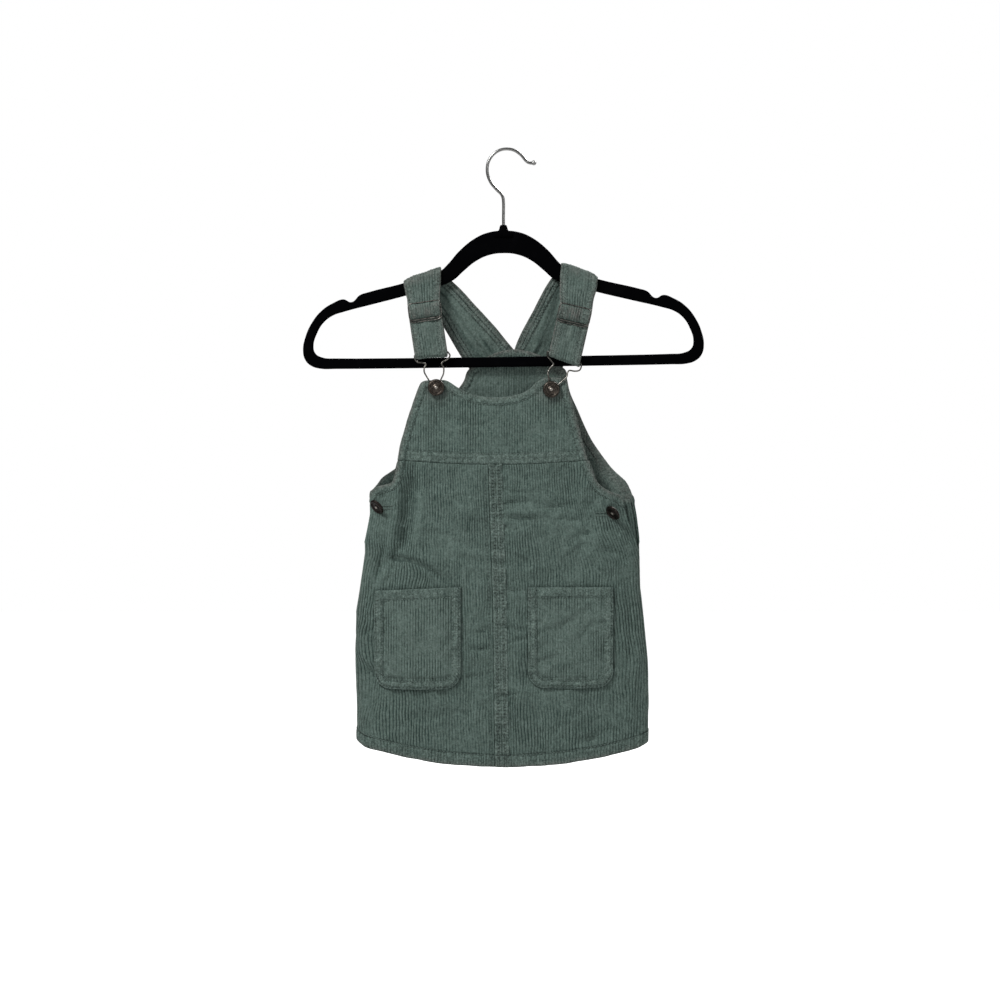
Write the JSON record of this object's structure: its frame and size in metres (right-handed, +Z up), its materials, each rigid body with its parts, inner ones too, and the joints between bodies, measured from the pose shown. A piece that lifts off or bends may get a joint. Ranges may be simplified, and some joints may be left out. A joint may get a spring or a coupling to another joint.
{
  "type": "corduroy pinafore dress on a clothes hanger",
  "caption": "Sage green corduroy pinafore dress with bib, adjustable straps and patch pockets, hung on a black flocked hanger.",
  "frame": {"origin": "inside top of the hanger's hook, on the line of its shaft, where it hangs on a rail", "axes": "+Z up along the hook's shaft, front of the dress faces -Y, +X to the right as the front is looked at"},
  "size_m": [0.3592, 0.0384, 0.5537],
  "materials": {
    "corduroy": "sage green cotton corduroy, 11 wales to the inch",
    "flock": "black flocked plastic",
    "hook_steel": "bright plated wire",
    "dark_wire": "antiqued wire",
    "bronze": "antiqued, rubbed bright on the high spots"
  },
  "bodies": {
    "root": {"hanger_body": "flock", "hanger_hook": "hook_steel", "front_bib": "corduroy", "front_skirt_left": "corduroy", "front_skirt_right": "corduroy", "back_bib": "corduroy", "back_skirt": "corduroy", "pocket_left": "corduroy", "pocket_right": "corduroy", "underlap_left": "corduroy", "underlap_right": "corduroy", "strap_left": "corduroy", "strap_right": "corduroy", "slider_left": "dark_wire", "slider_right": "dark_wire", "clip_left": "dark_wire", "clip_right": "dark_wire", "bib_button_left": "bronze", "bib_button_right": "bronze", "side_button_left": "bronze", "side_button_right": "bronze"}
  },
  "joints": []
}
